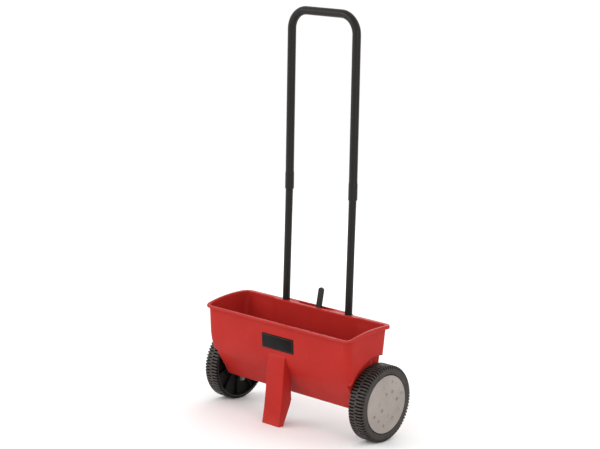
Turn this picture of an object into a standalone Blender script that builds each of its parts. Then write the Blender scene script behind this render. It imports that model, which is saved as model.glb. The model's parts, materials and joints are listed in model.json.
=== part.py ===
"""A walk-behind drop spreader for a garden: hopper, two wheels on one axle, tube handle, dose lever and shutter.

Everything is drawn in the hopper's own frame, whose origin is on the axle: +X is the spreader's right, +Y its
back, +Z up. The empty "parked" then stands it on its wheels and its front foot, where it leans forward a little.
"""

import math

import bmesh
import bpy
from mathutils import Matrix, Vector

# Driving dimensions, in metres
WHEEL_RADIUS = 0.100
WHEEL_OUTER_X = 0.2745
WHEEL_WIDTH = 0.045
PARKED_LEAN = math.radians(9.0)
CENTRE_SHIFT_Y = 0.02218
GAP = 0.0003

WALL = 0.0032
HOPPER_HALF_X = 0.2445
RIM_Z = 0.1918
FRONT_Y = -0.108
REAR_TOP_Y = 0.049
REAR_LOW_Y = 0.022
BOTTOM_Z = -0.0165
CORNER_RADIUS = 0.015
RIM_RISE = 0.0075
RIM_FRONT = 0.008
RIM_SIDE = 0.0073
RIM_REAR = 0.0115
LIP_DROP = 0.0095
ARCH_RADIUS = 0.120
ARCH_X = 0.2265

FOOT_HALF_X = 0.029
FOOT_WALL = 0.0045
FOOT_BACK_Y = -0.0875

SHELF_HALF_X = 0.112
SHELF_BACK_Y = 0.0675
SKIRT_HALF_X = 0.095
SKIRT_WALL = 0.0025
SKIRT_DROP = 0.0165

OUTLET_COUNT = 10
OUTLET_PITCH = 0.040
OUTLET_LENGTH = 0.008
OUTLET_WIDTH = 0.008
OUTLET_Y = -0.0165
WINDOW_LENGTH = 0.011
WINDOW_OFFSET = -0.0205
SHUTTER_THICKNESS = 0.0015
SHUTTER_HALF_Y = 0.0135

AXLE_RADIUS = 0.004
AXLE_HALF_X = 0.2668
BORE_CLEARANCE = 0.0003

TUBE_X = 0.1085
LOWER_TUBE_RADIUS = 0.0098
UPPER_TUBE_RADIUS = 0.0110
TUBE_WALL = 0.0007
LOWER_TUBE_LEAN = math.radians(4.8)
UPPER_TUBE_LEAN = math.radians(3.8)
SPLICE_Y = 0.0812
SPLICE_Z = 0.513
SOCKET_LENGTH = 0.0435
LOWER_TUBE_LENGTH = 0.495
BOW_HEIGHT = 0.449
BOW_BEND_RADIUS = 0.050

LEVER_PIVOT = (-0.0118, 0.0378, 0.045)
LEVER_PLANE_LEAN = math.radians(6.7)
LEVER_REST = math.radians(6.8)
LEVER_THICKNESS = 0.006
LEVER_HALF_WIDTH = 0.008
LEVER_TOP = 0.203
LEVER_HOOK = 0.0685

BADGE_CENTRE = (0.006, 0.137)
BADGE_SIZE = (0.108, 0.039)

ROUND_STEPS = 28
WHEEL_STEPS = 60


# ---------------------------------------------------------------- scene, materials and objects

def clear_scene():
    for obj in list(bpy.data.objects):
        bpy.data.objects.remove(obj, do_unlink=True)


def linear(red, green, blue):
    """A screen colour from 0 to 255 as the linear values that Blender's shaders take."""
    shares = (red / 255, green / 255, blue / 255)
    return tuple(c / 12.92 if c < 0.0405 else ((c + 0.055) / 1.055) ** 2.4 for c in shares)


def make_material(name, colour, roughness, metallic=0.0):
    material = bpy.data.materials.new(name)
    material.use_nodes = True
    shader = material.node_tree.nodes["Principled BSDF"]
    shader.inputs["Base Color"].default_value = (*linear(*colour), 1.0)
    shader.inputs["Roughness"].default_value = roughness
    shader.inputs["Metallic"].default_value = metallic
    material.diffuse_color = (*linear(*colour), 1.0)
    return material


def make_empty(name, parent=None, location=(0, 0, 0), rotation=(0, 0, 0)):
    empty = bpy.data.objects.new(name, None)
    bpy.context.scene.collection.objects.link(empty)
    empty.parent = parent
    empty.location = location
    empty.rotation_euler = rotation
    return empty


def make_object(name, mesh, material, parent, location=(0, 0, 0), rotation=(0, 0, 0)):
    obj = bpy.data.objects.new(name, mesh)
    bpy.context.scene.collection.objects.link(obj)
    if material:
        mesh.materials.append(material)
    obj.parent = parent
    obj.location = location
    obj.rotation_euler = rotation
    mesh.shade_smooth()
    mesh.set_sharp_from_angle(angle=math.radians(35))
    return obj


def make_cutter(name, mesh, parent, location=(0, 0, 0), rotation=(0, 0, 0)):
    obj = make_object(name, mesh, None, parent, location, rotation)
    obj.hide_render = True
    obj.display_type = "WIRE"
    return obj


def combine(target, other, operation):
    modifier = target.modifiers.new(other.name, "BOOLEAN")
    modifier.operation = operation
    modifier.object = other


def finish_mesh(bm, name):
    bmesh.ops.recalc_face_normals(bm, faces=bm.faces)
    mesh = bpy.data.meshes.new(name)
    bm.to_mesh(mesh)
    bm.free()
    return mesh


# ---------------------------------------------------------------- mesh builders

def lofted(name, rings, closed=False):
    """A skin over rings of equally many points. Its ends are capped, or joined to each other when closed."""
    bm = bmesh.new()
    loops = [[bm.verts.new(point) for point in ring] for ring in rings]
    pairs = list(zip(loops, loops[1:]))
    if closed:
        pairs.append((loops[-1], loops[0]))
    for lower, upper in pairs:
        for i in range(len(lower)):
            j = (i + 1) % len(lower)
            bm.faces.new((lower[i], lower[j], upper[j], upper[i]))
    if not closed:
        bm.faces.new(loops[0][::-1])
        bm.faces.new(loops[-1])
    return finish_mesh(bm, name)


def turned(name, profile, steps=ROUND_STEPS):
    """A profile of (x, radius) points, turned about the X axis. Ends on the axis close it, or else it is a ring."""
    bm = bmesh.new()
    verts = [bm.verts.new((x, 0, -radius)) for x, radius in profile]
    edges = [bm.edges.new(pair) for pair in zip(verts, verts[1:])]
    if profile[0][1] > 0:
        edges.append(bm.edges.new((verts[-1], verts[0])))
    bmesh.ops.spin(
        bm, geom=verts + edges, cent=(0, 0, 0), axis=(1, 0, 0), angle=math.tau, steps=steps, use_merge=True
    )
    bmesh.ops.remove_doubles(bm, verts=bm.verts, dist=1e-6)
    return finish_mesh(bm, name)


def extruded(name, outline, low, high, axis="X"):
    """An outline pushed along an axis: (y, z) points along X, (x, z) points along Y, or (x, y) points along Z."""
    place = {
        "X": lambda p, h: (h, p[0], p[1]),
        "Y": lambda p, h: (p[0], h, p[1]),
        "Z": lambda p, h: (p[0], p[1], h),
    }
    return lofted(name, [[place[axis](p, height) for p in outline] for height in (low, high)])


def add_box(bm, low, high):
    centre = [(a + b) / 2 for a, b in zip(low, high)]
    size = [b - a for a, b in zip(low, high)]
    bmesh.ops.create_cube(bm, size=1.0, matrix=Matrix.Translation(centre) @ Matrix.Diagonal((*size, 1.0)))


def boxes(name, corners):
    """One mesh of separate boxes, each given as its low and high corner."""
    bm = bmesh.new()
    for low, high in corners:
        add_box(bm, low, high)
    return finish_mesh(bm, name)


def rod(name, radius, low, high, axis="X", steps=ROUND_STEPS):
    """A plain round bar along an axis through the origin."""
    angles = [math.tau * i / steps for i in range(steps)]
    outline = [(radius * math.sin(a), -radius * math.cos(a)) for a in angles]
    return extruded(name, outline, low, high, axis)


def rounded_corner(before, corner, after, radius, steps):
    """The points of an arc that replaces one corner of an outline."""
    before, corner, after = Vector(before), Vector(corner), Vector(after)
    first = (before - corner).normalized()
    second = (after - corner).normalized()
    half = first.angle(second) / 2
    centre = corner + (first + second).normalized() * radius / math.sin(half)
    start = corner + first * radius / math.tan(half) - centre
    end = corner + second * radius / math.tan(half) - centre
    turn = start.angle_signed(end)
    return [tuple(centre + Matrix.Rotation(-turn * i / steps, 2) @ start) for i in range(steps + 1)]


def rounded_outline(corners, steps=4):
    """A closed outline whose corners are (a, b, radius)."""
    points = []
    for i, (a, b, radius) in enumerate(corners):
        if radius:
            after = corners[(i + 1) % len(corners)][:2]
            points += rounded_corner(corners[i - 1][:2], (a, b), after, radius, steps)
        else:
            points.append((a, b))
    return points


# ---------------------------------------------------------------- hopper

SIDE_CORNERS = [
    (FRONT_Y, RIM_Z, 0),
    (FRONT_Y, 0.085, 0.155),
    (-0.052, BOTTOM_Z, 0.015),
    (REAR_LOW_Y, BOTTOM_Z, 0.014),
    (REAR_LOW_Y, 0.057, 0.030),
    (REAR_TOP_Y, RIM_Z, 0),
]
BEND_STEPS = 4
RELIEF_Z = 0.120
RELIEF_SLOPE = 0.09
RELIEF_X = (0.150, 0.134)


def inset_corners(corners, inset):
    """The hopper's side outline moved inwards by a wall's thickness."""
    points = [Vector(c[:2]) for c in corners]
    legs = []
    for start, end in zip(points, points[1:]):
        along = (end - start).normalized()
        legs.append((start + Vector((-along.y, along.x)) * inset, along))
    moved = [legs[0][0]]
    for (p, d), (q, e) in zip(legs, legs[1:]):
        moved.append(p + d * (q - p).cross(e) / d.cross(e))
    last, along = legs[-1]
    moved.append(last + along * (RIM_Z - last.y) / along.y)
    return [(p.x, p.y, max(c[2] - inset, 0)) for p, c in zip(moved, corners)]


def wall_chains(corners):
    """The front and the rear wall as (y, z) points from the bottom up."""
    chains = []
    for order in (corners[:4], corners[:1:-1]):
        chain = [order[0][:2]]
        for i in (1, 2):
            chain += rounded_corner(order[i - 1][:2], order[i][:2], order[i + 1][:2], order[i][2], BEND_STEPS)
        chains.append(chain[::-1])
    return chains


def y_at(chain, z):
    for (y0, z0), (y1, z1) in zip(chain, chain[1:]):
        if z0 <= z <= z1 and z1 > z0:
            return y0 + (y1 - y0) * (z - z0) / (z1 - z0)
    return chain[0][0] if z < chain[0][1] else chain[-1][0]


def plan_ring(half_x, front, rear, radius, z, relief=0.0, rise=0.0):
    """A rounded rectangle at height z. Its rear side steps forwards between the tubes, and its sides arch up."""
    flat = [(half_x, front), (half_x, rear), (-half_x, rear), (-half_x, front)]
    corners = [rounded_corner(flat[i - 1], flat[i], flat[(i + 1) % 4], radius, 4) for i in range(4)]
    side_ys = [front + radius + (rear - front - 2 * radius) * i / 6 for i in range(1, 6)]
    right = [(half_x, y) for y in side_ys]
    left = [(-half_x, y) for y in reversed(side_ys)]
    wide, narrow = RELIEF_X
    back = [(wide, rear), (narrow, rear - relief), (-narrow, rear - relief), (-wide, rear)]
    points = corners[0] + right + corners[1] + back + corners[2] + left + corners[3]
    middle, half = (front + rear) / 2, (rear - front) / 2
    return [(x, y, z + rise * max(0.0, 1 - ((y - middle) / half) ** 2)) for x, y in points]


def wall_rings(inset):
    """The hopper's wall from the bottom up to just below its rim, or its inside when inset."""
    corners = inset_corners(SIDE_CORNERS, inset) if inset else SIDE_CORNERS
    front, rear = wall_chains(corners)
    levels = sorted({round(z, 5) for _, z in front + rear if z < RIM_Z - LIP_DROP - 0.012})
    levels += [0.150, 0.170]
    rings = []
    for z in sorted(levels):
        relief = max(0.0, z - RELIEF_Z) * RELIEF_SLOPE
        radius = CORNER_RADIUS - inset
        rings.append(plan_ring(HOPPER_HALF_X - inset, y_at(front, z), y_at(rear, z), radius, z, relief))
    return rings


def rim_ring(out, z, relief=0.0):
    """A ring of the rim: out is how far it stands out, from 0 at the wall to 1 at the lip."""
    return plan_ring(
        HOPPER_HALF_X + out * RIM_SIDE,
        FRONT_Y - out * RIM_FRONT,
        REAR_TOP_Y + out * RIM_REAR,
        CORNER_RADIUS + max(out, -1) * RIM_FRONT,
        z,
        relief,
        RIM_RISE,
    )


def hopper_outside(parent, material):
    top_relief = (RIM_Z - RELIEF_Z) * RELIEF_SLOPE
    rings = wall_rings(0.0)
    rings += [
        rim_ring(0.0, RIM_Z - WALL, top_relief),
        rim_ring(0.68, RIM_Z - WALL),
        rim_ring(0.68, RIM_Z - LIP_DROP),
        rim_ring(1.0, RIM_Z - LIP_DROP),
        rim_ring(1.0, RIM_Z - 0.0022),
        rim_ring(0.88, RIM_Z - 0.0006),
        rim_ring(0.65, RIM_Z),
        rim_ring(-0.6, RIM_Z, top_relief),
    ]
    return make_object("hopper_shell", lofted("hopper_shell", rings), material, parent)


def hopper_inside(parent):
    rings = wall_rings(WALL)
    above = [(x, y, RIM_Z + 0.04) for x, y, _ in rings[-1]]
    slope = (REAR_TOP_Y - REAR_LOW_Y) / (RIM_Z - 0.057) - RELIEF_SLOPE
    above = [(x, y + (slope * 0.02 if y > 0 else 0), z) for x, y, z in above]
    cavity = make_cutter("hopper_cavity_cutter", lofted("hopper_cavity_cutter", rings + [above]), parent)
    for side in (-1, 1):
        span = sorted((side * (ARCH_X - WALL), side * 0.30))
        lining = rod("arch_lining", ARCH_RADIUS + WALL, *span, steps=64)
        arch = make_cutter(f"arch_lining_cutter_{side}", lining, parent)
        combine(cavity, arch, "DIFFERENCE")
    return cavity


def ground_z(y):
    """The height of the floor in the hopper's frame."""
    return (-WHEEL_RADIUS - y * math.sin(PARKED_LEAN)) / math.cos(PARKED_LEAN)


def foot_leg(parent):
    """The front foot: a channel that hangs from the front wall, open to the back, with a flat toe."""
    toe_front, toe_back = -0.1399, -0.1222
    front = [(-0.1066, 0.1045), (-0.1115, 0.094), (-0.116, 0.058), (-0.1216, 0.010), (-0.1293, -0.0337)]
    outline = front + [(toe_front, ground_z(toe_front)), (toe_back, ground_z(toe_back))]
    outline += [(-0.0925, -0.030), (FOOT_BACK_Y, -0.018), (FOOT_BACK_Y, 0.066), (-0.100, 0.1045)]
    leg = make_cutter("foot_leg", extruded("foot_leg", outline, -FOOT_HALF_X, FOOT_HALF_X), parent)
    bevel = leg.modifiers.new("edges", "BEVEL")
    bevel.width = 0.0015
    bevel.segments = 2
    bevel.limit_method = "ANGLE"
    bevel.angle_limit = math.radians(60)
    pocket_outline = [(y + FOOT_WALL, z) for y, z in front[1:]]
    pocket_outline += [(toe_front + 0.0060, ground_z(toe_front) + 0.008), (-0.080, ground_z(toe_back) + 0.008)]
    pocket_outline += [(-0.050, 0.094)]
    pocket = extruded("foot_pocket_cutter", pocket_outline, FOOT_WALL - FOOT_HALF_X, FOOT_HALF_X - FOOT_WALL)
    combine(leg, make_cutter("foot_pocket_cutter", pocket, parent), "DIFFERENCE")
    return leg


def lever_slot_outline():
    """The slot in the rear shelf: straight at the back, bowed forwards where the lever swings."""
    middle, half, back, bow = -0.007, 0.062, 0.0640, 0.0080
    steps = 14
    front = []
    for i in range(steps + 1):
        t = 2 * i / steps - 1
        front.append((middle + half * t, 0.0490 + bow * t ** 6))
    return front + [(middle + half, back), (middle - half, back)]


def hopper_shell(parent, tube_frames, lever_frame, material):
    shell = hopper_outside(parent, material)
    for side in (-1, 1):
        span = sorted((side * ARCH_X, side * 0.30))
        arch = rod("arch", ARCH_RADIUS, *span, steps=64)
        combine(shell, make_cutter(f"arch_cutter_{side}", arch, parent), "DIFFERENCE")
    combine(shell, foot_leg(parent), "UNION")
    shelf = extruded("rear_shelf", rounded_outline([
        (-SHELF_HALF_X, 0.040, 0), (SHELF_HALF_X, 0.040, 0), (SHELF_HALF_X, SHELF_BACK_Y, 0.006),
        (-SHELF_HALF_X, SHELF_BACK_Y, 0.006),
    ]), RIM_Z - 0.0048, RIM_Z + 0.0002, "Z")
    combine(shell, make_cutter("rear_shelf", shelf, parent), "UNION")
    skirt = boxes("shelf_skirt", [
        (
            (-SKIRT_HALF_X, SHELF_BACK_Y - SKIRT_WALL, RIM_Z - SKIRT_DROP),
            (SKIRT_HALF_X, SHELF_BACK_Y - 0.0001, RIM_Z - 0.002),
        )
    ])
    combine(shell, make_cutter("shelf_skirt", skirt, parent), "UNION")
    for side, frame in zip(("left", "right"), tube_frames):
        collar = rod("tube_collar", 0.0122, -0.347, -0.3220, "Z")
        combine(shell, make_cutter(f"tube_collar_{side}", collar, frame), "UNION")
        block = boxes("tube_socket", [((-0.0145, -0.034, -0.483), (0.0145, 0.0140, -0.428))])
        combine(shell, make_cutter(f"tube_socket_{side}", block, frame), "UNION")
    boss = rod("lever_boss", 0.009, -0.020, -LEVER_THICKNESS / 2 - GAP, "Y")
    combine(shell, make_cutter("lever_boss", boss, lever_frame), "UNION")
    combine(shell, hopper_inside(parent), "DIFFERENCE")
    combine(shell, make_cutter("shell_holes_cutter", shell_holes(), parent), "DIFFERENCE")
    slot = extruded("lever_slot_cutter", lever_slot_outline(), 0.165, 0.205, "Z")
    combine(shell, make_cutter("lever_slot_cutter", slot, parent), "DIFFERENCE")
    for side, frame in zip(("left", "right"), tube_frames):
        bore = rod("tube_bore", LOWER_TUBE_RADIUS + BORE_CLEARANCE, -0.480, -0.30, "Z")
        combine(shell, make_cutter(f"tube_bore_{side}", bore, frame), "DIFFERENCE")
        hole = rod("tube_screw_hole", 0.0028, -0.030, 0.030, "X", 16)
        combine(shell, make_cutter(f"tube_screw_hole_{side}", hole, frame, (0, 0, TUBE_SCREW_Z)), "DIFFERENCE")
    screw_hole = rod("lever_screw_hole", 0.0032, -0.0125, 0.010, "Y", 16)
    combine(shell, make_cutter("lever_screw_hole_cutter", screw_hole, lever_frame), "DIFFERENCE")
    return shell


TUBE_SCREW_Z = -0.4555
RAIL_SPANS = {"front": (-0.214, 0.214), "rear_left": (-0.214, -0.062), "rear_right": (0.036, 0.214)}
BUSH_RADIUS = 0.0078


def outlet_xs():
    return [(i - (OUTLET_COUNT - 1) / 2) * OUTLET_PITCH for i in range(OUTLET_COUNT)]


def rail_screw_places():
    """(x, y) of each rail screw, two to a rail, between the outlets."""
    places = []
    for name, (low, high) in RAIL_SPANS.items():
        y = OUTLET_Y + (0.0175 if name.startswith("rear") else -0.0175)
        places += [(low + 0.016, y), (high - 0.016, y)]
    return places


def shell_holes():
    """The outlets in the hopper's floor, the axle's holes in its sides and the rail screws' pilot holes."""
    bm = bmesh.new()
    for x in outlet_xs():
        low = (x - OUTLET_LENGTH / 2, OUTLET_Y - OUTLET_WIDTH / 2, BOTTOM_Z - 0.005)
        high = (x + OUTLET_LENGTH / 2, OUTLET_Y + OUTLET_WIDTH / 2, BOTTOM_Z + 0.006)
        add_box(bm, low, high)
    for x, y in rail_screw_places():
        place = Matrix.Translation((x, y, BOTTOM_Z))
        bmesh.ops.create_cone(
            bm, cap_ends=True, segments=10, radius1=0.0014, radius2=0.0014, depth=0.012, matrix=place
        )
    for side in (-1, 1):
        place = Matrix.Translation((side * ARCH_X, 0, 0)) @ Matrix.Rotation(math.pi / 2, 4, "Y")
        radius = BUSH_RADIUS + BORE_CLEARANCE
        bmesh.ops.create_cone(
            bm, cap_ends=True, segments=ROUND_STEPS, radius1=radius, radius2=radius, depth=0.02, matrix=place
        )
    return finish_mesh(bm, "shell_holes_cutter")


def front_badge(parent, material):
    half_x, half_z = BADGE_SIZE[0] / 2, BADGE_SIZE[1] / 2
    x, z = BADGE_CENTRE
    outline = rounded_outline([
        (x - half_x, z - half_z, 0.002), (x + half_x, z - half_z, 0.002),
        (x + half_x, z + half_z, 0.002), (x - half_x, z + half_z, 0.002),
    ], 3)
    mesh = extruded("front_badge", outline, FRONT_Y - 0.0011, FRONT_Y - GAP, "Y")
    make_object("front_badge", mesh, material, parent)


# ---------------------------------------------------------------- handle

def lower_tube(side, frame, material):
    length = LOWER_TUBE_LENGTH
    outer, inner = LOWER_TUBE_RADIUS, LOWER_TUBE_RADIUS - TUBE_WALL
    angles = [math.tau * i / ROUND_STEPS for i in range(ROUND_STEPS)]
    low, high = 0.020 - length, 0.020
    rings = []
    for radius, z in ((outer, low), (outer, high), (inner, high), (inner, low)):
        rings.append([(radius * math.cos(a), radius * math.sin(a), z) for a in angles])
    tube = make_object(f"lower_tube_{side}", lofted(f"lower_tube_{side}", rings, closed=True), material, frame)
    hole = rod("tube_cross_hole", 0.0028, -0.02, 0.02, "X", 16)
    combine(tube, make_cutter(f"tube_cross_hole_{side}", hole, frame, (0, 0, TUBE_SCREW_Z)), "DIFFERENCE")
    button_hole = rod("button_hole", 0.0033, 0.002, 0.02, "Y", 16)
    combine(tube, make_cutter(f"lower_button_hole_{side}", button_hole, frame), "DIFFERENCE")
    return tube


def bow_path():
    """Stations along the bow: centre, direction, outer radius and inner radius."""
    plain, thin = UPPER_TUBE_RADIUS, UPPER_TUBE_RADIUS - TUBE_WALL
    flared = LOWER_TUBE_RADIUS + TUBE_WALL
    low, high = -SOCKET_LENGTH / 2, SOCKET_LENGTH / 2
    leg = [(low, flared + 0.0005, flared), (low + 0.004, 0.0118, flared), (high, 0.0118, flared)]
    leg += [(high + 0.005, plain, thin), (BOW_HEIGHT - BOW_BEND_RADIUS, plain, thin)]
    stations = [(Vector((-TUBE_X, 0, z)), Vector((0, 0, 1)), ro, ri) for z, ro, ri in leg]
    steps = 9
    for side in (-1, 1):
        for i in range(0 if side > 0 else 1, steps + 1):
            if side > 0 and i == steps:
                continue
            turn = math.pi / 2 * i / steps
            angle = turn if side < 0 else math.pi / 2 - turn
            x = side * (TUBE_X - BOW_BEND_RADIUS + BOW_BEND_RADIUS * math.cos(angle))
            z = BOW_HEIGHT - BOW_BEND_RADIUS + BOW_BEND_RADIUS * math.sin(angle)
            along = Vector((math.sin(angle), 0, -side * math.cos(angle)))
            stations.append((Vector((x, 0, z)), along, plain, thin))
    stations += [(Vector((TUBE_X, 0, z)), Vector((0, 0, -1)), ro, ri) for z, ro, ri in reversed(leg)]
    return stations


def handle_bow(frame, material):
    angles = [math.tau * i / ROUND_STEPS for i in range(ROUND_STEPS)]
    outside, inside = [], []
    for centre, along, outer, inner in bow_path():
        across = Vector((0, 1, 0)).cross(along)
        for rings, radius in ((outside, outer), (inside, inner)):
            rings.append([
                centre + across * radius * math.cos(a) + Vector((0, radius * math.sin(a), 0)) for a in angles
            ])
    mesh = lofted("handle_bow", outside + inside[::-1], closed=True)
    bow = make_object("handle_bow", mesh, material, frame)
    for side in (-1, 1):
        hole = rod("bow_button_hole", 0.0033, 0.002, 0.02, "Y", 16)
        combine(bow, make_cutter(f"bow_button_hole_{side}", hole, frame, (side * TUBE_X, 0, 0)), "DIFFERENCE")
    return bow


def snap_button(side, frame, material):
    profile = [
        (0.0, 0.0), (0.0, 0.0038), (0.0014, 0.0038), (0.0014, 0.0026),
        (0.0062, 0.0026), (0.0070, 0.0018), (0.0070, 0.0),
    ]
    mesh = turned(f"snap_button_{side}", profile, 16)
    make_object(f"snap_button_{side}", mesh, material, frame, (0, 0.0062, 0), (0, 0, math.pi / 2))


def tube_screw(side, frame, steel):
    profile = [
        (-0.0175, 0), (-0.0175, 0.0042), (-0.0150, 0.0048), (-0.0148, 0.0025),
        (0.0195, 0.0025), (0.0200, 0.0020), (0.0200, 0),
    ]
    place = (0, 0, TUBE_SCREW_Z)
    make_object(f"tube_screw_{side}", turned(f"tube_screw_{side}", profile, 16), steel, frame, place)
    nut = [(0.0148, 0.0029), (0.0148, 0.0046), (0.0184, 0.0046), (0.0184, 0.0029)]
    make_object(f"tube_nut_{side}", turned(f"tube_nut_{side}", nut, 6 * 3), steel, frame, place)


# ---------------------------------------------------------------- axle and wheels

def wheel_mesh(name, side):
    """A moulded wheel with its web near the outside, a hub and radial ribs on the inside."""
    outer, inner = WHEEL_OUTER_X, WHEEL_OUTER_X - WHEEL_WIDTH
    bore = AXLE_RADIUS + BORE_CLEARANCE
    profile = [
        (inner, 0.0905), (inner, 0.0965), (inner + 0.0035, WHEEL_RADIUS), (outer - 0.0040, WHEEL_RADIUS),
        (outer, 0.0960), (outer, 0.0778), (outer - 0.0060, 0.0766), (outer - 0.0130, 0.0766),
        (outer - 0.0130, bore), (inner + GAP, bore), (inner + GAP, 0.0150), (outer - 0.0170, 0.0170),
        (outer - 0.0170, 0.0805), (outer - 0.0050, 0.0820), (outer - 0.0050, 0.0905),
    ]
    return turned(name, [(side * x, radius) for x, radius in profile], WHEEL_STEPS)


def wheel_ribs(name, side):
    """Ten radial ribs between the hub and the rim."""
    bm = bmesh.new()
    span = sorted((side * (WHEEL_OUTER_X - WHEEL_WIDTH + 0.008), side * (WHEEL_OUTER_X - 0.0150)))
    for i in range(10):
        before = set(bm.verts)
        add_box(bm, (span[0], -0.0012, 0.0145), (span[1], 0.0012, 0.0910))
        fresh = [v for v in bm.verts if v not in before]
        bmesh.ops.rotate(bm, verts=fresh, cent=(0, 0, 0), matrix=Matrix.Rotation(math.tau * i / 10, 3, "X"))
    return finish_mesh(bm, name)


def wheel(name, side, frame, rubber):
    body = make_object(f"wheel_{name}", wheel_mesh(f"wheel_{name}", side), rubber, frame)
    ribs = make_cutter(f"wheel_ribs_{name}", wheel_ribs(f"wheel_ribs_{name}", side), frame)
    combine(body, ribs, "UNION")
    return body


def wheel_cap(name, side, frame, material):
    edge = WHEEL_OUTER_X
    profile = [
        (edge - 0.0045, 0.0), (edge - 0.0045, 0.0740), (edge - 0.0012, 0.0753), (edge + 0.0004, 0.0745),
        (edge + 0.0016, 0.0600), (edge + 0.0026, 0.0350), (edge + 0.0030, 0.0),
    ]
    mesh = turned(f"wheel_cap_{name}", [(side * x, radius) for x, radius in profile], WHEEL_STEPS)
    make_object(f"wheel_cap_{name}", mesh, material, frame)


def ring_part(name, side, low, high, inner, outer, frame, material):
    profile = [(side * low, inner), (side * low, outer), (side * high, outer), (side * high, inner)]
    return make_object(name, turned(name, profile), material, frame)


def axle_bush(name, side, parent, material):
    inside, wall, face = ARCH_X - 0.010, ARCH_X + GAP, ARCH_X + 0.0014
    bore = AXLE_RADIUS + BORE_CLEARANCE
    profile = [
        (inside, bore), (inside, BUSH_RADIUS), (wall, BUSH_RADIUS), (wall, 0.0115), (face, 0.0115), (face, bore),
    ]
    mesh = turned(f"axle_bush_{name}", [(side * x, radius) for x, radius in profile])
    make_object(f"axle_bush_{name}", mesh, material, parent)


def axle_rod(frame, steel):
    profile = [(-AXLE_HALF_X, 0), (-AXLE_HALF_X, 0.0034), (0.0006 - AXLE_HALF_X, AXLE_RADIUS)]
    profile += [(-x, radius) for x, radius in reversed(profile)]
    bar = make_object("axle_rod", turned("axle_rod", profile), steel, frame)
    for place, label in ((DRIVE_PIN_X, "drive"), (0.0, "agitator")):
        hole = rod("axle_cross_hole", 0.0016, -0.01, 0.01, "Z", 12)
        combine(bar, make_cutter(f"axle_cross_hole_{label}", hole, frame, (place, 0, 0)), "DIFFERENCE")
    return bar


DRIVE_PIN_X = 0.2410
PIN_RADIUS = 0.0013


def agitator(frame, material):
    """A sleeve pinned to the axle, with a pair of paddles over each outlet, turned a quarter from one to the next."""
    bore, sleeve = AXLE_RADIUS + BORE_CLEARANCE, 0.0068
    profile = [(-0.205, bore), (-0.205, sleeve), (0.205, sleeve), (0.205, bore)]
    body = make_object("agitator", turned("agitator", profile, 20), material, frame)
    bm = bmesh.new()
    for i, x in enumerate(outlet_xs()):
        for side in (-1, 1):
            across = sorted((side * 0.0060, side * 0.0122))
            if i % 2:
                add_box(bm, (x - 0.008, across[0], -0.0012), (x + 0.008, across[1], 0.0012))
            else:
                add_box(bm, (x - 0.008, -0.0012, across[0]), (x + 0.008, 0.0012, across[1]))
    combine(body, make_cutter("agitator_paddles", finish_mesh(bm, "agitator_paddles"), frame), "UNION")
    hole = rod("agitator_pin_hole", 0.0016, -0.02, 0.02, "Z", 12)
    combine(body, make_cutter("agitator_pin_hole", hole, frame), "DIFFERENCE")
    make_object("agitator_pin", rod("agitator_pin", PIN_RADIUS, -0.0066, 0.0066, "Z", 12), None, frame)
    return body


# ---------------------------------------------------------------- dose lever and shutter

def dose_lever(frame, material):
    """A flat lever with a round top. Its slim lower end reaches through the shutter's tab."""
    half, slim = LEVER_HALF_WIDTH, 0.0040
    outline = rounded_outline([
        (-slim, -LEVER_HOOK, 0.002), (slim, -LEVER_HOOK, 0.002), (slim, -0.030, 0), (half, -0.016, 0),
        (half, LEVER_TOP, 0.0078), (-half, LEVER_TOP, 0.0078), (-half, -0.016, 0), (-slim, -0.030, 0),
    ], 6)
    mesh = extruded("dose_lever", outline, -LEVER_THICKNESS / 2, LEVER_THICKNESS / 2, "Y")
    lever = make_object("dose_lever", mesh, material, frame)
    hole = rod("lever_pivot_hole", 0.0034, -0.01, 0.01, "Y", 20)
    combine(lever, make_cutter("lever_pivot_hole", hole, frame), "DIFFERENCE")
    return lever


def lever_fastening(frame, steel):
    """The shoulder screw that the lever turns on, and the washer under its head."""
    face = LEVER_THICKNESS / 2
    screw = [
        (-0.0120, 0), (-0.0120, 0.0029), (face + 0.0016, 0.0029), (face + 0.0016, 0.0060),
        (face + 0.0040, 0.0052), (face + 0.0040, 0),
    ]
    make_object("lever_screw", turned("lever_screw", screw, 20), steel, frame, rotation=(0, 0, math.pi / 2))
    washer = [(face + GAP, 0.0032), (face + GAP, 0.0080), (face + 0.0013, 0.0080), (face + 0.0013, 0.0032)]
    make_object("lever_washer", turned("lever_washer", washer, 20), steel, frame, rotation=(0, 0, math.pi / 2))


def shutter_heights():
    top = BOTTOM_Z - GAP
    return top - SHUTTER_THICKNESS, top


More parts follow.
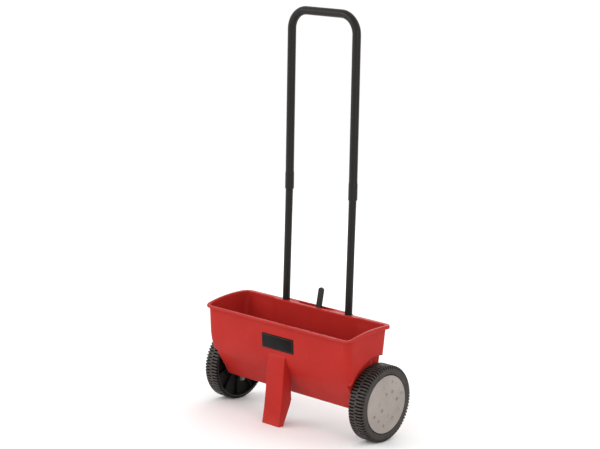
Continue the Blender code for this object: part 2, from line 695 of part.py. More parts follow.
def shutter_plate(frame, material):
    """The sliding plate under the outlets, with a window for each and a tab at the back for the lever."""
    low, high = shutter_heights()
    hook_x = LEVER_PIVOT[0] - (LEVER_PIVOT[2] - low) * math.tan(LEVER_REST)
    hook_y = LEVER_PIVOT[1] - (LEVER_PIVOT[2] - low) * math.tan(LEVER_PLANE_LEAN)
    back = OUTLET_Y + SHUTTER_HALF_Y
    outline = [
        (-0.2215, OUTLET_Y - SHUTTER_HALF_Y), (0.2135, OUTLET_Y - SHUTTER_HALF_Y), (0.2135, back),
        (hook_x + 0.014, back), (hook_x + 0.010, hook_y + 0.0085), (hook_x - 0.010, hook_y + 0.0085),
        (hook_x - 0.014, back), (-0.2215, back),
    ]
    plate = make_object("shutter_plate", extruded("shutter_plate", outline, low, high, "Z"), material, frame)
    windows = []
    for x in outlet_xs():
        centre = x + WINDOW_OFFSET
        windows.append(((centre - WINDOW_LENGTH / 2, OUTLET_Y - 0.0055, low - 0.01),
                        (centre + WINDOW_LENGTH / 2, OUTLET_Y + 0.0055, high + 0.01)))
    windows.append((
        (hook_x - 0.0056, hook_y - 0.0042, low - 0.01), (hook_x + 0.0056, hook_y + 0.0042, high + 0.01),
    ))
    combine(plate, make_cutter("shutter_windows", boxes("shutter_windows", windows), frame), "DIFFERENCE")
    return plate


def shutter_stop(frame, material):
    """The moulded finger stop clipped over the shutter's left end."""
    low, _ = shutter_heights()
    half_y = 0.006
    corners = (-0.2195, OUTLET_Y - half_y, low - 0.023), (-0.2105, OUTLET_Y + half_y, low - GAP)
    mesh = boxes("shutter_stop", [corners])
    stop = make_object("shutter_stop", mesh, material, frame)
    bevel = stop.modifiers.new("edges", "BEVEL")
    bevel.width = 0.0012
    bevel.segments = 2
    return stop


def rails(parent, material, steel):
    """L-shaped rails that carry the shutter: one along the front, and two at the back beside the lever's tab."""
    low, high = shutter_heights()
    near = SHUTTER_HALF_Y + 0.0005
    section = [
        (0.0215, high), (near, high), (near, low - GAP),
        (0.0100, low - GAP), (0.0100, low - 0.0020), (0.0215, low - 0.0020),
    ]
    for name, span in RAIL_SPANS.items():
        sign = 1 if name.startswith("rear") else -1
        outline = [(OUTLET_Y + sign * y, z) for y, z in section]
        mesh = extruded(f"shutter_rail_{name}", outline, *span)
        rail = make_object(f"shutter_rail_{name}", mesh, material, parent)
        holes = []
        for x, y in rail_screw_places():
            if span[0] < x < span[1] and (y > OUTLET_Y) == (sign > 0):
                holes.append((x, y))
        bm = bmesh.new()
        for x, y in holes:
            place = Matrix.Translation((x, y, low))
            bmesh.ops.create_cone(
                bm, cap_ends=True, segments=10, radius1=0.0018, radius2=0.0018, depth=0.02, matrix=place
            )
        cutter = make_cutter(f"rail_holes_{name}", finish_mesh(bm, f"rail_holes_{name}"), parent)
        combine(rail, cutter, "DIFFERENCE")
    face = low - 0.0020 - GAP
    tip = BOTTOM_Z + WALL - GAP
    profile = [
        (face - 0.0016, 0), (face - 0.0016, 0.0024), (face, 0.0030), (face, 0.0011), (tip, 0.0011), (tip, 0),
    ]
    for i, (x, y) in enumerate(rail_screw_places(), 1):
        mesh = turned(f"rail_screw_{i}", profile, 10)
        make_object(f"rail_screw_{i}", mesh, steel, parent, (x, y, 0), (0, -math.pi / 2, 0))


# ---------------------------------------------------------------- assembly

def build():
    clear_scene()
    red = make_material("red_plastic", (189, 50, 43), 0.38)
    black = make_material("black_plastic", (34, 32, 31), 0.5)
    tyre = make_material("wheel_plastic", (58, 55, 53), 0.6)
    grey = make_material("grey_plastic", (167, 158, 153), 0.45)
    paint = make_material("black_paint", (38, 35, 32), 0.3)
    steel = make_material("zinc_steel", (170, 172, 175), 0.35, 1.0)
    badge = make_material("badge_print", (24, 18, 14), 0.3)

    parked = make_empty("parked", None, (0, CENTRE_SHIFT_Y, WHEEL_RADIUS), (PARKED_LEAN, 0, 0))
    axle = make_empty("axle_line", parked)
    lean = (-LOWER_TUBE_LEAN, 0, 0)
    tube_frames = [
        make_empty(f"lower_tube_line_{side}", parked, (sign * TUBE_X, SPLICE_Y, SPLICE_Z), lean)
        for side, sign in (("left", -1), ("right", 1))
    ]
    bow_frame = make_empty("bow_plane", parked, (0, SPLICE_Y, SPLICE_Z), (-UPPER_TUBE_LEAN, 0, 0))
    lever_plane = make_empty("lever_plane", parked, LEVER_PIVOT, (-LEVER_PLANE_LEAN, 0, 0))
    lever_axis = make_empty("lever_axis", lever_plane, rotation=(0, LEVER_REST, 0))

    hopper_shell(parked, tube_frames, lever_plane, red)
    front_badge(parked, badge)
    for side, frame in zip(("left", "right"), tube_frames):
        lower_tube(side, frame, paint)
        tube_screw(side, frame, steel)
        snap_button(side, frame, steel)
    handle_bow(bow_frame, paint)

    axle_rod(axle, steel)
    agitator(axle, black)
    bpy.data.objects["agitator_pin"].data.materials.append(steel)
    for name, side in (("left", -1), ("right", 1)):
        axle_bush(name, side, parked, black)
        body = wheel(name, side, axle, tyre)
        wheel_cap(name, side, axle, grey)
        hub_face = WHEEL_OUTER_X - 0.0130
        ring_part(f"push_nut_{name}", side, hub_face + GAP, hub_face + 0.0020, 0.0043, 0.0090, axle, steel)
        if side > 0:
            pin_hole = rod("drive_pin_hole", 0.0016, -0.0170, 0.0170, "Z", 12)
            combine(body, make_cutter("drive_pin_hole", pin_hole, axle, (DRIVE_PIN_X, 0, 0)), "DIFFERENCE")
            pin = rod("drive_pin", PIN_RADIUS, -0.0150, 0.0150, "Z", 12)
            make_object("drive_pin", pin, steel, axle, (DRIVE_PIN_X, 0, 0))

    dose_lever(lever_axis, black)
    lever_fastening(lever_plane, steel)
    shutter_plate(parked, steel)
    shutter_stop(parked, grey)
    rails(parked, black, steel)


build()
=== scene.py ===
"""The looks of the drop spreader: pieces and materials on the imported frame, with a floor, light and camera.

Pieces are drawn in the hopper's own frame (origin on the axle, +Y back, +Z up) and placed by BODY_FRAME,
which stands that frame on the floor as the CAD does.
"""

import json
import math

import bmesh
import bpy
from mathutils import Matrix, Vector


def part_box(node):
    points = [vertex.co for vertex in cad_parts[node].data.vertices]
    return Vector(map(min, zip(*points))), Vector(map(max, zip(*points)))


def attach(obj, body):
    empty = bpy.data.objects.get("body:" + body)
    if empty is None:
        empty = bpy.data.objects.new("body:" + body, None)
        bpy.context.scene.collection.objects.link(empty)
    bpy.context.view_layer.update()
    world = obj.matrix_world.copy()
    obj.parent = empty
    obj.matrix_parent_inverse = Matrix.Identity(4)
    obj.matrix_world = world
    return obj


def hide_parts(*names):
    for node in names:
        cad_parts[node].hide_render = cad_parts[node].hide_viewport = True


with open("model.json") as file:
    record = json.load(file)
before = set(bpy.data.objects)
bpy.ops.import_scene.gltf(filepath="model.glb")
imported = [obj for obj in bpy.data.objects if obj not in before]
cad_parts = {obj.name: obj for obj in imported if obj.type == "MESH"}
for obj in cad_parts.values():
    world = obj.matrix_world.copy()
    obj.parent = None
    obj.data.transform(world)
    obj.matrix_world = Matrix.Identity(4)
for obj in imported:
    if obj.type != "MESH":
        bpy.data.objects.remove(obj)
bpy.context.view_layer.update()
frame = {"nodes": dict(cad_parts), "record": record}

# The parked spreader leans about its axle, and the lever's axis shows by how much: it is square to the lever's
# plane, which stands LEVER_PLANE_LEAN off upright in the hopper's own frame.
JOINTS = {joint["name"]: joint for joint in frame["record"]["behaviour"]["joints"]}
AXLE = Vector(JOINTS["axle_spin"]["pos_m"])
LEVER_PLANE_LEAN, LEVER_REST = math.radians(6.7), math.radians(6.8)
LEAN = LEVER_PLANE_LEAN + math.asin(JOINTS["lever_swing"]["axis"][2])
BODY_FRAME = Matrix.Translation(AXLE) @ Matrix.Rotation(LEAN, 4, "X")
SIDES = ((-1, "left"), (1, "right"))

# Hopper, in metres
WALL = 0.0032
HALF_X = 0.2445
RIM_Z = 0.1918
WALL_TOP = 0.182
FRONT_Y = -0.108
REAR_TOP_Y = 0.049
REAR_LOW_Y = 0.022
BOTTOM_Z = -0.0165
CORNER_RADIUS = 0.015
# The rim's sides arch up by RIM_RISE, and its lip stands out by these amounts
RIM_RISE = 0.0075
RIM_FRONT, RIM_SIDE, RIM_REAR = 0.008, 0.0073, 0.0115
# Along the front, past LIP_START of its reach, the lip thins to little more than FRONT_LIP, over LIP_RUN at each end
FRONT_LIP, FRONT_LIP_SHARE, LIP_RUN = 0.0032, 0.15, 0.030
LIP_START = 0.6
ARCH_RADIUS, ARCH_X = 0.120, 0.2265
# From tube to tube and a little beyond, the rear wall steps forwards above RELIEF_Z, by more the higher up
RELIEF_Z, RELIEF_SLOPE, RELIEF_X = 0.120, 0.09, (0.150, 0.134)
TOP_RELIEF = (RIM_Z - RELIEF_Z) * RELIEF_SLOPE
FOOT_HALF_X, FOOT_WALL = 0.029, 0.0045
SHELF_HALF_X, SHELF_BACK_Y = 0.112, 0.0675
SKIRT_HALF_X = 0.095
OUTLETS = [(i - 4.5) * 0.040 for i in range(10)]
OUTLET_Y, OUTLET_HALF = -0.0165, 0.004
BUSH_RADIUS = 0.0078
GAP = 0.0003

# Handle: SPLICE is (y, z) where the upper tube starts over the lower ones
TUBE_X = 0.1085
LOWER_RADIUS, UPPER_RADIUS = 0.0098, 0.0110
SPLICE = (0.0812, 0.513)
LOWER_LEAN, UPPER_LEAN = math.radians(4.8), math.radians(3.8)

# Wheels
WHEEL_RADIUS = 0.100
WHEEL_OUTER, WHEEL_WIDTH = 0.2745, 0.045
LUGS = 72

# Lever
LEVER_PIVOT = (-0.0118, 0.0378, 0.045)


# ---------------------------------------------------------------- objects

def new_object(name, mesh, matrix=BODY_FRAME, sharp=35):
    """A smooth-shaded object, with its edges sharp where faces meet at more than `sharp` degrees."""
    obj = bpy.data.objects.new(name, mesh)
    bpy.context.scene.collection.objects.link(obj)
    obj.matrix_world = matrix
    mesh.shade_smooth()
    mesh.set_sharp_from_angle(angle=math.radians(sharp))
    return obj


def dress(obj, body, material, stands_for=None):
    """Gives a piece its material, its body and, if it stands for one, the CAD node that it hides."""
    obj.data.materials.clear()
    obj.data.materials.append(material)
    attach(obj, body)
    if stands_for:
        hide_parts(stands_for)


def to_mesh(bm, name):
    bmesh.ops.remove_doubles(bm, verts=bm.verts, dist=1e-6)
    bmesh.ops.recalc_face_normals(bm, faces=bm.faces)
    mesh = bpy.data.meshes.new(name)
    bm.to_mesh(mesh)
    bm.free()
    return mesh


def skin(bm, rings, along=False):
    """Quads over closed rings. `along` joins the last ring to the first, and otherwise both ends are capped."""
    loops = [[bm.verts.new(p) for p in ring] for ring in rings]
    pairs = list(zip(loops, loops[1:])) + ([(loops[-1], loops[0])] if along else [])
    count = len(loops[0])
    for a, b in pairs:
        for i in range(count):
            j = (i + 1) % count
            bm.faces.new((a[i], a[j], b[j], b[i]))
    if not along:
        bm.faces.new(loops[0][::-1])
        bm.faces.new(loops[-1])


def skinned(name, rings, along=False):
    bm = bmesh.new()
    skin(bm, rings, along)
    return to_mesh(bm, name)


def even_angles(steps):
    return [math.tau * k / steps for k in range(steps)]


def circle(x, radius, angles):
    """Points about the X axis, at angles counted from straight down."""
    return [(x, radius * math.sin(a), -radius * math.cos(a)) for a in angles]


def turned_rings(profile, steps):
    """Rings about X from (x, radius) points."""
    angles = even_angles(steps)
    return [circle(x, radius, angles) for x, radius in profile]


def turned(name, profile, steps, along=False):
    return skinned(name, turned_rings(profile, steps), along)


def extrude(name, outline, low, high, axis):
    """An outline pushed along an axis: its points are (y, z) for X, (x, z) for Y and (x, y) for Z."""
    at = "XYZ".index(axis)
    return skinned(name, [[(*p[:at], h, *p[at:]) for p in outline] for h in (low, high)])


def box_mesh(name, corners):
    """Boxes in one mesh, each from its lowest and highest corner."""
    bm = bmesh.new()
    for low, high in corners:
        centre = [(a + b) / 2 for a, b in zip(low, high)]
        size = [b - a for a, b in zip(low, high)]
        bmesh.ops.create_cube(bm, size=1.0, matrix=Matrix.Translation(centre) @ Matrix.Diagonal((*size, 1.0)))
    return to_mesh(bm, name)


def arc_corner(before, corner, after, radius, steps):
    """The points of an arc that rounds a corner of an outline."""
    before, corner, after = Vector(before), Vector(corner), Vector(after)
    first, second = (before - corner).normalized(), (after - corner).normalized()
    half = first.angle(second) / 2
    centre = corner + (first + second).normalized() * radius / math.sin(half)
    start = corner + first * radius / math.tan(half) - centre
    turn = start.angle_signed(corner + second * radius / math.tan(half) - centre)
    return [tuple(centre + Matrix.Rotation(-turn * i / steps, 2) @ start) for i in range(steps + 1)]


def rounded(corners, steps):
    """A closed outline from (a, b, radius) corners, where a radius of 0 leaves the corner sharp."""
    points = []
    for i, (a, b, radius) in enumerate(corners):
        after = corners[(i + 1) % len(corners)][:2]
        points += arc_corner(corners[i - 1][:2], (a, b), after, radius, steps) if radius else [(a, b)]
    return points


def cut(obj, mesh, matrix=BODY_FRAME):
    """Takes a throw-away cutter out of a piece."""
    cutter = bpy.data.objects.new("cutter", mesh)
    bpy.context.scene.collection.objects.link(cutter)
    cutter.matrix_world = matrix
    modifier = obj.modifiers.new("cut", "BOOLEAN")
    modifier.object = cutter
    modifier.operation = "DIFFERENCE"
    modifier.solver = "EXACT"
    bake(obj)
    bpy.data.objects.remove(cutter, do_unlink=True)


def bake(obj):
    """Turns the object's modifiers into its mesh."""
    bpy.context.view_layer.update()
    graph = bpy.context.evaluated_depsgraph_get()
    mesh = bpy.data.meshes.new_from_object(obj.evaluated_get(graph))
    obj.modifiers.clear()
    obj.data = mesh


def round_edges(obj, width, segments=3, angle=40):
    modifier = obj.modifiers.new("edges", "BEVEL")
    modifier.width = width
    modifier.segments = segments
    modifier.limit_method = "ANGLE"
    modifier.angle_limit = math.radians(angle)
    bake(obj)
    obj.data.shade_smooth()
    obj.data.set_sharp_from_angle(angle=math.radians(50))


# ---------------------------------------------------------------- materials

def linear(red, green, blue):
    """A screen colour of 0 to 255 as the linear values that a shader takes."""
    shares = (red / 255, green / 255, blue / 255)
    return tuple(c / 12.92 if c < 0.0405 else ((c + 0.055) / 1.055) ** 2.4 for c in shares)


class Nodes:
    """Shorthand for building one material's nodes."""

    def __init__(self, name):
        self.material = bpy.data.materials.new(name)
        self.material.use_nodes = True
        self.tree = self.material.node_tree
        self.shader = self.tree.nodes["Principled BSDF"]
        self.coords = self.tree.nodes.new("ShaderNodeTexCoord")

    def link(self, source, target):
        self.tree.links.new(source, target)

    def set(self, **values):
        for key, value in values.items():
            self.shader.inputs[key.replace("_", " ")].default_value = value

    def mapped(self, scale=(1, 1, 1)):
        node = self.tree.nodes.new("ShaderNodeMapping")
        node.inputs["Scale"].default_value = scale
        self.link(self.coords.outputs["Object"], node.inputs["Vector"])
        return node.outputs["Vector"]

    def noise(self, scale, detail=3.0, roughness=0.55, stretch=(1, 1, 1), distortion=0.0):
        node = self.tree.nodes.new("ShaderNodeTexNoise")
        node.inputs["Scale"].default_value = scale
        node.inputs["Detail"].default_value = detail
        node.inputs["Roughness"].default_value = roughness
        node.inputs["Distortion"].default_value = distortion
        self.link(self.mapped(stretch), node.inputs["Vector"])
        return node.outputs["Fac"]

    def cells(self, scale):
        node = self.tree.nodes.new("ShaderNodeTexVoronoi")
        node.inputs["Scale"].default_value = scale
        self.link(self.mapped(), node.inputs["Vector"])
        return node.outputs["Distance"]

    def ramp(self, value, low, high, out_low=0.0, out_high=1.0):
        node = self.tree.nodes.new("ShaderNodeMapRange")
        node.inputs["From Min"].default_value = low
        node.inputs["From Max"].default_value = high
        node.inputs["To Min"].default_value = out_low
        node.inputs["To Max"].default_value = out_high
        self.link(value, node.inputs["Value"])
        return node.outputs["Result"]

    def mix(self, factor, first, second):
        node = self.tree.nodes.new("ShaderNodeMix")
        node.data_type = "RGBA"
        self.link(factor, node.inputs["Factor"])
        for socket, value in ((node.inputs["A"], first), (node.inputs["B"], second)):
            if isinstance(value, tuple):
                socket.default_value = (*value, 1.0)
            else:
                self.link(value, socket)
        return node.outputs["Result"]

    def multiply(self, first, second):
        node = self.tree.nodes.new("ShaderNodeMath")
        node.operation = "MULTIPLY"
        for socket, value in zip(node.inputs, (first, second)):
            if isinstance(value, (int, float)):
                socket.default_value = value
            else:
                self.link(value, socket)
        return node.outputs["Value"]

    # Pointy edges: a mask for paler wear and for a painted highlight along edges.
    def worn_and_sheen_edges(self, low=0.53, high=0.60):
        geometry = self.tree.nodes.new("ShaderNodeNewGeometry")
        return self.ramp(geometry.outputs["Pointiness"], low, high)

    def bump(self, height, strength, distance, after=None):
        node = self.tree.nodes.new("ShaderNodeBump")
        node.inputs["Strength"].default_value = strength
        node.inputs["Distance"].default_value = distance
        self.link(height, node.inputs["Height"])
        if after is not None:
            self.link(after, node.inputs["Normal"])
        return node.outputs["Normal"]

    def colour(self, socket):
        self.link(socket, self.shader.inputs["Base Color"])

    def roughness(self, socket):
        self.link(socket, self.shader.inputs["Roughness"])

    def normal(self, socket):
        self.link(socket, self.shader.inputs["Normal"])


def moulded_plastic(name, colour, pale, dark, rough, grain=0.00006, edge=0.35, shine=0.35):
    """Injection-moulded plastic: flow-line mottling, a fine grain, hairline scuffs and paler edges, partly wear and
    partly painted highlight.
    """
    n = Nodes(name)
    mottling = n.ramp(n.noise(9.0, 4.0, 0.6, distortion=0.6), 0.35, 0.65)
    base = n.mix(mottling, dark, colour)
    scuffs = n.ramp(n.noise(60.0, 6.0, 0.75, (1, 5, 0.6)), 0.60, 0.78)
    base = n.mix(n.multiply(scuffs, 0.18), base, pale)
    # Paler edges: wear, and a painted highlight where edges would catch the light.
    base = n.mix(n.multiply(n.worn_and_sheen_edges(), edge), base, pale)
    n.colour(base)
    n.roughness(n.ramp(n.noise(35.0, 5.0, 0.6), 0.3, 0.7, rough - 0.05, rough + 0.07))
    fine = n.bump(n.noise(2600.0, 2.0, 0.5), 0.22, grain)
    n.normal(n.bump(n.noise(14.0, 2.0, 0.4), 0.10, 0.0012, fine))
    n.set(Specular_IOR_Level=shine)
    return n.material


def tyre_plastic(name):
    """Moulded wheel plastic: dull dark grey on the sidewall and the lugs' tops, with painted shade making the
    grooves near black.
    """
    n = Nodes(name)
    mottling = n.ramp(n.noise(40.0, 5.0, 0.65), 0.35, 0.68)
    base = n.mix(mottling, linear(42, 37, 34), linear(57, 51, 47))
    separate = n.tree.nodes.new("ShaderNodeSeparateXYZ")
    n.link(n.coords.outputs["Object"], separate.inputs["Vector"])
    flat = n.tree.nodes.new("ShaderNodeCombineXYZ")
    n.link(separate.outputs["Y"], flat.inputs["Y"])
    n.link(separate.outputs["Z"], flat.inputs["Z"])
    length = n.tree.nodes.new("ShaderNodeVectorMath")
    length.operation = "LENGTH"
    n.link(flat.outputs["Vector"], length.inputs[0])
    across = n.tree.nodes.new("ShaderNodeMath")
    across.operation = "ABSOLUTE"
    n.link(separate.outputs["X"], across.inputs[0])
    top = n.ramp(length.outputs["Value"], 0.0975, 0.0996)
    # Painted shade: below the lugs' tops the tread is coloured near black.
    groove = n.mix(top, linear(5, 4, 4), linear(58, 52, 49))
    tread_zone = n.ramp(across.outputs["Value"], WHEEL_OUTER - 0.0012, WHEEL_OUTER - 0.0030)
    outer = n.mix(tread_zone, base, groove)
    n.colour(n.mix(n.multiply(n.worn_and_sheen_edges(), 0.35), outer, linear(112, 104, 99)))
    n.roughness(n.ramp(n.noise(50.0, 5.0, 0.6), 0.3, 0.7, 0.52, 0.68))
    fine = n.bump(n.noise(1500.0, 3.0, 0.6), 0.35, 0.0001)
    n.normal(n.bump(n.noise(120.0, 3.0, 0.5), 0.15, 0.0004, fine))
    n.set(Specular_IOR_Level=0.35)
    return n.material


def tube_paint(name):
    """Black powder coat on steel tube: orange peel, faint rubbed streaks along the tube."""
    n = Nodes(name)
    streaks = n.ramp(n.noise(90.0, 5.0, 0.7, (1, 1, 0.05)), 0.45, 0.75)
    base = n.mix(streaks, linear(17, 14, 12), linear(28, 24, 21))
    n.colour(n.mix(n.multiply(n.worn_and_sheen_edges(0.55, 0.66), 0.25), base, linear(96, 90, 84)))
    n.roughness(n.ramp(n.noise(70.0, 4.0, 0.6), 0.3, 0.7, 0.30, 0.44))
    n.normal(n.bump(n.noise(900.0, 2.0, 0.5), 0.25, 0.00012))
    n.set(Specular_IOR_Level=0.26)
    return n.material


def zinc(name, along=(0.04, 1, 1)):
    """Zinc-plated steel: brushed grain and a slight spangle of grey and yellow."""
    n = Nodes(name)
    spangle = n.ramp(n.cells(260.0), 0.0, 0.9)
    base = n.mix(spangle, linear(176, 177, 176), linear(146, 148, 152))
    tint = n.ramp(n.noise(25.0, 4.0, 0.6), 0.45, 0.75)
    n.colour(n.mix(n.multiply(tint, 0.35), base, linear(180, 168, 138)))
    n.roughness(n.ramp(n.noise(400.0, 4.0, 0.6, along), 0.3, 0.7, 0.24, 0.42))
    n.normal(n.bump(n.noise(900.0, 3.0, 0.6, along), 0.2, 0.00006))
    n.set(Metallic=1.0)
    return n.material


def badge_print(name):
    """A glossy near-black printed plate with a faint fleck and fingerprints in its gloss."""
    n = Nodes(name)
    fleck = n.ramp(n.noise(1200.0, 3.0, 0.7), 0.55, 0.8)
    n.colour(n.mix(n.multiply(fleck, 0.5), linear(5, 4, 3), linear(22, 18, 16)))
    n.roughness(n.ramp(n.noise(60.0, 5.0, 0.65), 0.35, 0.7, 0.34, 0.5))
    n.normal(n.bump(n.noise(1500.0, 2.0, 0.5), 0.12, 0.00005))
    n.set(Specular_IOR_Level=0.12)
    return n.material


# The red's edges are paled strongly towards light pink: a painted highlight along the rim and other edges, on top of
# wear. The same pink also lightens the scuffs.
RED = moulded_plastic(
    "red_moulding", linear(172, 40, 34), linear(216, 108, 96), linear(165, 36, 31), 0.42, edge=0.55, shine=0.10,
)
BLACK = moulded_plastic(
    "black_moulding", linear(30, 27, 25), linear(92, 86, 82), linear(22, 20, 19), 0.5, grain=0.00009, edge=0.3,
)
GREY = moulded_plastic(
    "grey_moulding", linear(153, 144, 138), linear(196, 189, 184), linear(142, 133, 127), 0.48,
    grain=0.0001, edge=0.5,
)
DARK_GREY = moulded_plastic(
    "dark_grey_moulding", linear(92, 87, 83), linear(140, 134, 129), linear(82, 77, 74), 0.5,
    grain=0.0001, edge=0.4,
)
# The wheel's plastic darkened to near black: painted shade for the wheel's inner side, its web and ribs.
SHADED_CORE = moulded_plastic(
    "wheel_core_shade_moulding", linear(8, 7, 6), linear(48, 44, 42), linear(5, 4, 4), 0.55,
    grain=0.00009, edge=0.3, shine=0.12,
)
TYRE = tyre_plastic("wheel_moulding")
PAINT = tube_paint("tube_powder_coat")
STEEL = zinc("zinc_plate")
BADGE = badge_print("badge_gloss")


# ---------------------------------------------------------------- hopper

# The hopper seen from its side, as (y, z, radius) from the front rim round the bottom to the rear rim
SIDE_CORNERS = [
    (FRONT_Y, RIM_Z, 0), (FRONT_Y, 0.085, 0.155), (-0.052, BOTTOM_Z, 0.015),
    (REAR_LOW_Y, BOTTOM_Z, 0.014), (REAR_LOW_Y, 0.057, 0.030), (REAR_TOP_Y, RIM_Z, 0),
]


def inset_corners(inset):
    """SIDE_CORNERS moved inwards by one thickness."""
    points = [Vector(c[:2]) for c in SIDE_CORNERS]
    legs = []
    for start, end in zip(points, points[1:]):
        along = (end - start).normalized()
        legs.append((start + Vector((-along.y, along.x)) * inset, along))
    moved = [legs[0][0]]
    for (p, d), (q, e) in zip(legs, legs[1:]):
        moved.append(p + d * (q - p).cross(e) / d.cross(e))
    last, along = legs[-1]
    moved.append(last + along * (RIM_Z - last.y) / along.y)
    return [(p.x, p.y, max(c[2] - inset, 0)) for p, c in zip(moved, SIDE_CORNERS)]


def wall_chains(corners):
    """The front wall and the rear wall as (y, z) points with rounded bends, each from the bottom up."""
    chains = []
    for order in (corners[:4], corners[:1:-1]):
        chain = [order[0][:2]]
        for i in (1, 2):
            chain += arc_corner(order[i - 1][:2], order[i][:2], order[i + 1][:2], order[i][2], 14)
        chains.append(chain[::-1])
    return chains


def y_at(chain, z):
    """Where a wall stands at height z."""
    for (y0, z0), (y1, z1) in zip(chain, chain[1:]):
        if z0 <= z <= z1 and z1 > z0:
            return y0 + (y1 - y0) * (z - z0) / (z1 - z0)
    return chain[0][0] if z < chain[0][1] else chain[-1][0]


def side_points(start, end, count):
    """The points that cut a straight side into `count` pieces, without its ends."""
    return [tuple(Vector(start).lerp(Vector(end), i / count)) for i in range(1, count)]


def plan_ring(half_x, front, rear, radius, z, relief=0.0, rise=0.0):
    """The hopper's rounded rectangle at height z, always of as many points.

    Its rear side steps forwards by `relief` except near its ends, and its sides arch up by `rise`.
    """
    flat = [(half_x, front), (half_x, rear), (-half_x, rear), (-half_x, front)]
    arcs = [arc_corner(flat[i - 1], flat[i], flat[(i + 1) % 4], radius, 8) for i in range(4)]
    wide, narrow = RELIEF_X
    step = []
    for i in range(5):
        t = i / 4
        ease = t * t * (3 - 2 * t)
        step.append((wide + (narrow - wide) * t, rear - relief * ease))
    back = side_points(arcs[1][-1], step[0], 6) + step + side_points(step[-1], (-narrow, rear - relief), 22)
    back += [(-x, y) for x, y in reversed(step)] + side_points((-wide, rear), arcs[2][0], 6)
    points = arcs[0] + side_points(arcs[0][-1], arcs[1][0], 14) + arcs[1] + back + arcs[2]
    points += side_points(arcs[2][-1], arcs[3][0], 14) + arcs[3] + side_points(arcs[3][-1], arcs[0][0], 44)
    middle, half = (front + rear) / 2, (rear - front) / 2
    return [(x, y, z + rise * max(0.0, 1 - ((y - middle) / half) ** 2)) for x, y in points]


def wall_rings(inset):
    """The walls' rings up to WALL_TOP: one at each point of the bends, and evenly spaced above them."""
    corners = inset_corners(inset) if inset else SIDE_CORNERS
    front, rear = wall_chains(corners)
    bends_end, closest, pitch = 0.168, 0.0006, 0.012
    levels = sorted({round(z, 5) for _, z in front + rear if z < bends_end})
    kept = [levels[0]]
    for z in levels[1:]:
        if z - kept[-1] > closest:
            kept.append(z)
    while kept[-1] < WALL_TOP - pitch:
        kept.append(kept[-1] + pitch)
    rings = []
    for z in kept:
        relief = max(0.0, z - RELIEF_Z) * RELIEF_SLOPE
        rings.append(plan_ring(HALF_X - inset, y_at(front, z), y_at(rear, z), CORNER_RADIUS - inset, z, relief))
    return rings


def rim_ring(out, drop, relief=0.0, inset=0.0):
    """A ring of the rim: `out` is its share of the lip's reach and `drop` its depth below the rim's top."""
    ring = plan_ring(
        HALF_X - inset + out * RIM_SIDE, FRONT_Y + inset - out * RIM_FRONT, REAR_TOP_Y - inset + out * RIM_REAR,
        CORNER_RADIUS - inset + out * RIM_FRONT, RIM_Z - drop, relief, RIM_RISE,
    )
    if out < LIP_START:
        return ring
    thin = []
    for x, y, z in ring:
        back = min(max((y - FRONT_Y + 0.004) / LIP_RUN, 0.0), 1.0)
        spare = (1 - back * back * (3 - 2 * back)) * max(drop - FRONT_LIP, 0.0) * (1 - FRONT_LIP_SHARE)
        thin.append((x, y, z + spare))
    return thin


def hopper_outside():
    rings = wall_rings(0.0)
    rings += [
        rim_ring(0.0, 0.0060, TOP_RELIEF),
        rim_ring(0.0, 0.0036, TOP_RELIEF),
        rim_ring(0.05, 0.0029, TOP_RELIEF),
        rim_ring(0.16, 0.0025, TOP_RELIEF * 0.5),
    ]
    lip = [
        (0.62, 0.0025), (0.66, 0.0030), (0.66, 0.0090), (0.70, 0.0095), (0.94, 0.0095), (0.99, 0.0092),
        (1.0, 0.0086), (1.0, 0.0030), (0.985, 0.0020), (0.94, 0.0010), (0.86, 0.0003), (0.76, 0.0),
    ]
    rings += [rim_ring(out, drop) for out, drop in lip]
    rings.append(rim_ring(0.0, 0.0, TOP_RELIEF))
    return skinned("hopper", rings)


def hopper_cavity():
    rings = wall_rings(WALL)
    flare = [
        (0.0, 0.0050), (0.0, 0.0022), (0.03, 0.0014), (0.09, 0.0006), (0.18, -0.0002), (0.18, -0.0300),
    ]
    rings += [rim_ring(out, drop, TOP_RELIEF, WALL) for out, drop in flare]
    return skinned("hopper_cavity", rings)


def arch_profile(side, grow):
    """The wheel arch's cutter, with a rounded mouth and a filleted floor."""
    radius, face = ARCH_RADIUS + grow, ARCH_X - grow
    flared, beyond = radius + 0.0042, 0.30
    points = [
        (face, 0.0), (face, radius - 0.006), (face + 0.0008, radius - 0.003), (face + 0.0030, radius - 0.0008),
        (face + 0.006, radius), (HALF_X - 0.006, radius), (HALF_X - 0.0035, radius + 0.0005),
        (HALF_X - 0.0014, radius + 0.0018), (HALF_X, flared), (beyond, flared), (beyond, 0.0),
    ]
    return [(side * x, r) for x, r in points]


def slot_front():
    """The lever slot's front edge, which bows forwards between its ends."""
    middle, half, steps = -0.007, 0.062, 24
    spread = [2 * i / steps - 1 for i in range(steps + 1)]
    return [(middle + half * t, 0.0490 + 0.0080 * t ** 6) for t in spread]


def slot_outline():
    front, back, radius = slot_front(), 0.0640, 0.003
    right = arc_corner(front[-1], (front[-1][0], back), (0, back), radius, 4)
    left = arc_corner((0, back), (front[0][0], back), front[0], radius, 4)
    return front + right + left


def cut_slot(obj):
    cut(obj, extrude("slot_cut", slot_outline(), 0.165, 0.205, "Z"))


def tube_frame(side):
    """The lower tube's frame, with its origin at the splice and Z up along the tube."""
    return BODY_FRAME @ Matrix.Translation((side * TUBE_X, *SPLICE)) @ Matrix.Rotation(-LOWER_LEAN, 4, "X")


def rod(name, radius, low, high, axis):
    mesh = turned(name, [(low, radius), (high, radius)], 48)
    quarter = math.pi / 2
    turns = {
        "X": Matrix.Identity(4),
        "Y": Matrix.Rotation(quarter, 4, "Z"),
        "Z": Matrix.Rotation(-quarter, 4, "Y"),
    }
    mesh.transform(turns[axis])
    return mesh


def cut_tubes(obj):
    """The two holes in which the lower tubes stand at the rim."""
    for side, _ in SIDES:
        cut(obj, rod("tube_cut", LOWER_RADIUS + GAP, -0.480, -0.30, "Z"), tube_frame(side))


